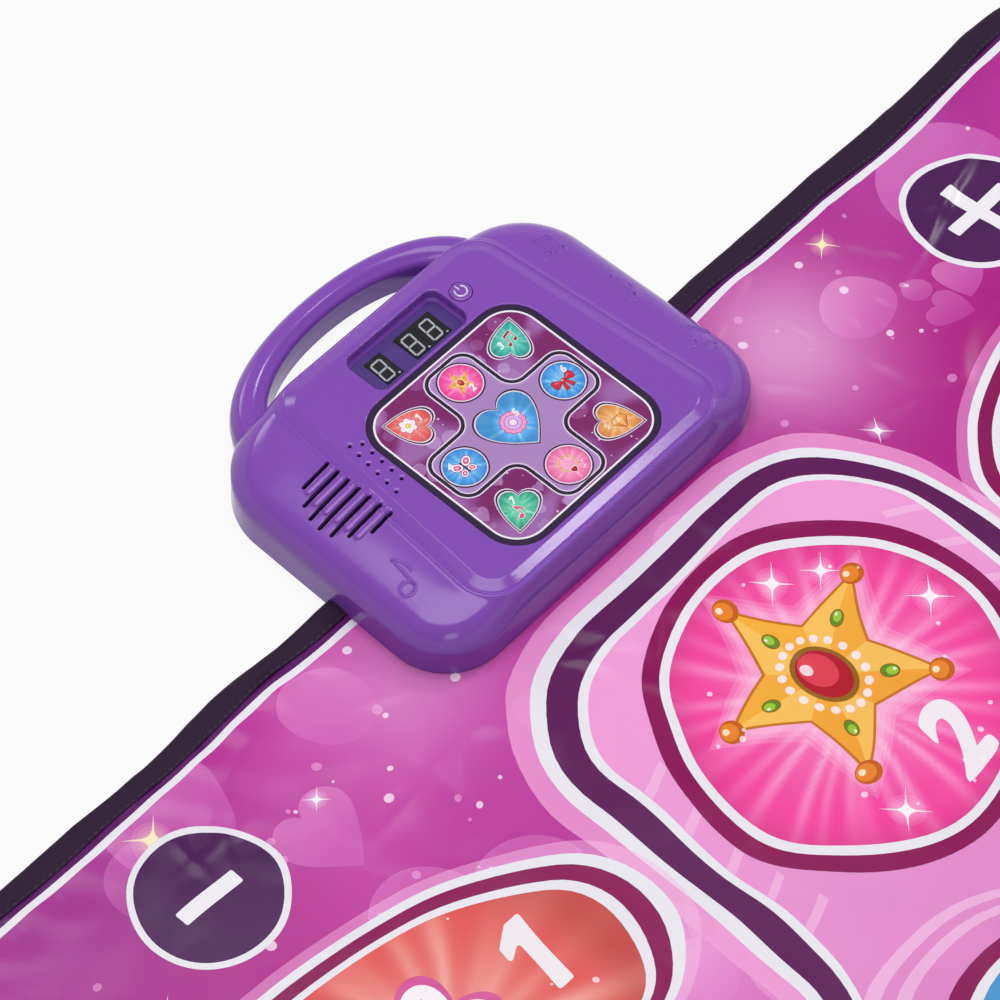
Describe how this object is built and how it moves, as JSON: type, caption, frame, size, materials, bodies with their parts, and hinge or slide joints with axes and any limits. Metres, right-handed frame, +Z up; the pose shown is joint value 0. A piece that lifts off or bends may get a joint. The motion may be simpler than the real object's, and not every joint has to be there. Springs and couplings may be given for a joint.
{
  "type": "electronic dance mat",
  "caption": "Padded vinyl dance mat with heart and round step pads, and a clamped-on carry console with a lit game panel, digit displays, speaker and handle.",
  "frame": {"origin": "on the floor, in the middle of the object's whole length and width", "axes": "+Z up; +Y from the player to the console's carry handle; +X to the right of a player who faces the console"},
  "size_m": [0.95, 1.1624, 0.0443],
  "materials": {
    "printed_vinyl": "satin printed vinyl laminated to foam",
    "pad_vinyl": "satin printed vinyl laminated to foam",
    "disc_vinyl": "satin printed vinyl laminated to foam",
    "binding_cloth": "woven tape, folded and stitched",
    "backing_cloth": "non-slip dotted cloth",
    "foam_sheet": "soft closed-cell foam sheet",
    "clear_film": "clear membrane film with printed contacts",
    "purple_plastic": "glossy moulded plastic",
    "violet_plastic": "glossy moulded plastic",
    "printed_panel": "printed translucent panel",
    "black_plastic": "moulded plastic",
    "white_plastic": "moulded translucent plastic",
    "circuit_board": "solder-masked laminate",
    "steel": "plated steel",
    "cone_paper": "pressed cone",
    "battery_jacket": "jacketed cell"
  },
  "bodies": {
    "mat": {"nonslip_backing": "backing_cloth", "base_foam": "foam_sheet", "contact_film": "clear_film", "cushion_foam": "foam_sheet", "mat_cover": "printed_vinyl", "edge_binding": "binding_cloth", "clamp_plate": "black_plastic", "clamp_screw_1": "steel", "clamp_screw_2": "steel", "clamp_screw_3": "steel", "clamp_screw_4": "steel", "case_screw_1": "steel", "case_screw_2": "steel", "bottom_case": "purple_plastic", "top_case": "purple_plastic", "carry_handle": "purple_plastic", "main_board": "circuit_board", "display_board": "circuit_board", "sound_chip": "black_plastic", "tail_connector": "white_plastic", "membrane_tail": "clear_film", "indicator_led_1": "white_plastic", "indicator_led_2": "white_plastic", "indicator_led_3": "white_plastic", "indicator_led_4": "white_plastic", "indicator_led_5": "white_plastic", "indicator_led_6": "white_plastic", "indicator_led_7": "white_plastic", "indicator_led_8": "white_plastic", "indicator_led_9": "white_plastic", "light_box": "white_plastic", "game_panel": "printed_panel", "display_tray": "violet_plastic", "single_digit_display": "black_plastic", "double_digit_display": "black_plastic", "power_switch": "black_plastic", "speaker_frame": "steel", "speaker_cone": "cone_paper", "speaker_magnet": "steel", "battery_1": "battery_jacket", "battery_2": "battery_jacket", "battery_3": "battery_jacket", "battery_contact_left": "steel", "battery_contact_right": "steel"},
    "pad_1": {"pad_1": "pad_vinyl"},
    "pad_2": {"pad_2": "pad_vinyl"},
    "pad_3": {"pad_3": "pad_vinyl"},
    "pad_4": {"pad_4": "pad_vinyl"},
    "pad_5": {"pad_5": "pad_vinyl"},
    "pad_6": {"pad_6": "pad_vinyl"},
    "pad_7": {"pad_7": "pad_vinyl"},
    "pad_8": {"pad_8": "pad_vinyl"},
    "pad_9": {"pad_9": "pad_vinyl"},
    "volume_down_pad": {"volume_down_pad": "disc_vinyl"},
    "volume_up_pad": {"volume_up_pad": "disc_vinyl"},
    "power_button": {"power_button": "purple_plastic"},
    "battery_door": {"battery_door": "purple_plastic", "door_screw": "steel"}
  },
  "joints": [
    {"name": "pad_1_press", "type": "slide", "parent": "mat", "child": "pad_1", "axis": [0, 0, -1], "range_m": [0, 0.001], "stiffness_N_per_m": 5000, "springref_m": -0.002},
    {"name": "pad_2_press", "type": "slide", "parent": "mat", "child": "pad_2", "axis": [0, 0, -1], "range_m": [0, 0.001], "stiffness_N_per_m": 5000, "springref_m": -0.002},
    {"name": "pad_3_press", "type": "slide", "parent": "mat", "child": "pad_3", "axis": [0, 0, -1], "range_m": [0, 0.001], "stiffness_N_per_m": 5000, "springref_m": -0.002},
    {"name": "pad_4_press", "type": "slide", "parent": "mat", "child": "pad_4", "axis": [0, 0, -1], "range_m": [0, 0.001], "stiffness_N_per_m": 5000, "springref_m": -0.002},
    {"name": "pad_5_press", "type": "slide", "parent": "mat", "child": "pad_5", "axis": [0, 0, -1], "range_m": [0, 0.001], "stiffness_N_per_m": 5000, "springref_m": -0.002},
    {"name": "pad_6_press", "type": "slide", "parent": "mat", "child": "pad_6", "axis": [0, 0, -1], "range_m": [0, 0.001], "stiffness_N_per_m": 5000, "springref_m": -0.002},
    {"name": "pad_7_press", "type": "slide", "parent": "mat", "child": "pad_7", "axis": [0, 0, -1], "range_m": [0, 0.001], "stiffness_N_per_m": 5000, "springref_m": -0.002},
    {"name": "pad_8_press", "type": "slide", "parent": "mat", "child": "pad_8", "axis": [0, 0, -1], "range_m": [0, 0.001], "stiffness_N_per_m": 5000, "springref_m": -0.002},
    {"name": "pad_9_press", "type": "slide", "parent": "mat", "child": "pad_9", "axis": [0, 0, -1], "range_m": [0, 0.001], "stiffness_N_per_m": 5000, "springref_m": -0.002},
    {"name": "volume_down_pad_press", "type": "slide", "parent": "mat", "child": "volume_down_pad", "axis": [0, 0, -1], "range_m": [0, 0.001], "stiffness_N_per_m": 5000, "springref_m": -0.002},
    {"name": "volume_up_pad_press", "type": "slide", "parent": "mat", "child": "volume_up_pad", "axis": [0, 0, -1], "range_m": [0, 0.001], "stiffness_N_per_m": 5000, "springref_m": -0.002},
    {"name": "power_button_press", "type": "slide", "parent": "mat", "child": "power_button", "axis": [0, 0, -1], "range_m": [0, 0.0008], "stiffness_N_per_m": 1200, "springref_m": -0.0015},
    {"name": "battery_door_hinge", "type": "hinge", "parent": "mat", "child": "battery_door", "pos_m": [0, 0.4585, 0.0012], "axis": [-1, 0, 0], "range_deg": [0, 100]}
  ]
}
